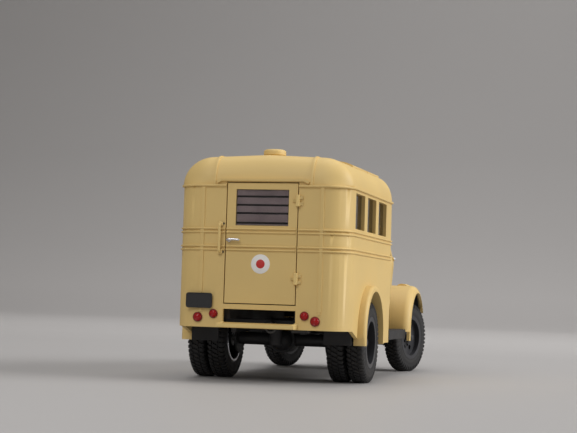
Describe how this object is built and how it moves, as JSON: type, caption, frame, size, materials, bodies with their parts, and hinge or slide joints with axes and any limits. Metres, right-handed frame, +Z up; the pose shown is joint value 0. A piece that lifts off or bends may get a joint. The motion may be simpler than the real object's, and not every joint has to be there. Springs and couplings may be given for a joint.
{
  "type": "scale model ambulance truck",
  "caption": "Collector's scale model of a box-bodied military ambulance truck with a hinged rear door, steered front wheels and twin rear wheels, all rolling.",
  "frame": {"origin": "on the ground under the middle of the overall length and width", "axes": "+X forwards along the truck, +Y to its left, +Z up"},
  "size_m": [0.1264, 0.0504, 0.0611],
  "materials": {
    "paint": "satin",
    "cream": "satin",
    "black": "matte",
    "dark": "matte",
    "flap": "matte",
    "seat": "matte",
    "glass": "clear",
    "blind": "matte",
    "bright": "polished",
    "steel": "satin",
    "lamp_red": "gloss",
    "rim": "satin",
    "tyre": "matte"
  },
  "bodies": {
    "body": {"van_walls": "paint", "van_roof": "paint", "roof_vent": "paint", "van_floor": "dark", "van_benches": "seat", "van_glazing": "glass", "grab_handle": "cream", "rear_step": "cream", "tail_lamps": "lamp_red", "number_plate": "black", "mudflaps": "flap", "tow_eye": "steel", "cab_shell": "paint", "cab_glazing": "glass", "cab_seat": "seat", "dashboard": "dark", "steering_wheel": "black", "bonnet": "paint", "engine_bay": "dark", "grille": "paint", "fender_left": "paint", "fender_right": "paint", "headlamp_lenses": "glass", "bumper": "black", "running_boards": "black", "frame_rails": "black", "cross_members": "black", "rear_springs": "black", "front_springs": "black", "rear_axle": "black", "front_axle": "black", "gearbox": "dark", "drive_shaft": "black", "fuel_tank": "black", "exhaust": "bright"},
    "rear_door": {"rear_door": "paint", "rear_door_glass": "glass", "rear_blind": "blind", "rear_door_handle": "bright"},
    "knuckle_left": {"knuckle_left": "black"},
    "knuckle_right": {"knuckle_right": "black"},
    "tie_rod": {"tie_rod": "black"},
    "wheel_front_left": {"front_rim_left": "rim", "front_tyre_left": "tyre"},
    "wheel_front_right": {"front_rim_right": "rim", "front_tyre_right": "tyre"},
    "rear_wheels": {"axle_rod": "steel", "rear_rims": "rim", "rear_tyres": "tyre"}
  },
  "joints": [
    {"name": "rear_door_hinge", "type": "hinge", "parent": "body", "child": "rear_door", "pos_m": [-0.05975, -0.0095, 0.036], "axis": [0, 0, 1], "range_deg": [0, 110]},
    {"name": "steer_left", "type": "hinge", "parent": "body", "child": "knuckle_left", "pos_m": [0.04385, 0.0157, 0.0108], "axis": [0, 0, 1], "range_deg": [-9, 41]},
    {"name": "steer_right", "type": "hinge", "parent": "body", "child": "knuckle_right", "pos_m": [0.04385, -0.0157, 0.0108], "axis": [0, 0, 1], "range_deg": [-9, 41]},
    {"name": "tie_rod_pivot", "type": "hinge", "parent": "knuckle_left", "child": "tie_rod", "pos_m": [0.03856, 0.01722, 0.0085], "axis": [0, 0, 1], "range_deg": [-41, 9]},
    {"name": "spin_front_left", "type": "hinge", "parent": "knuckle_left", "child": "wheel_front_left", "pos_m": [0.04512, 0.02012, 0.0108], "axis": [0.2756, 0.9613, 0], "continuous": true},
    {"name": "spin_front_right", "type": "hinge", "parent": "knuckle_right", "child": "wheel_front_right", "pos_m": [0.04258, -0.02012, 0.0108], "axis": [0.2756, 0.9613, 0], "continuous": true},
    {"name": "spin_rear", "type": "hinge", "parent": "body", "child": "rear_wheels", "pos_m": [-0.03295, 0, 0.0108], "axis": [0, 1, 0], "continuous": true}
  ],
  "couplings": [
    {"joint": "steer_right", "follows": "steer_left", "ratio": 1},
    {"joint": "tie_rod_pivot", "follows": "steer_left", "ratio": -1}
  ]
}
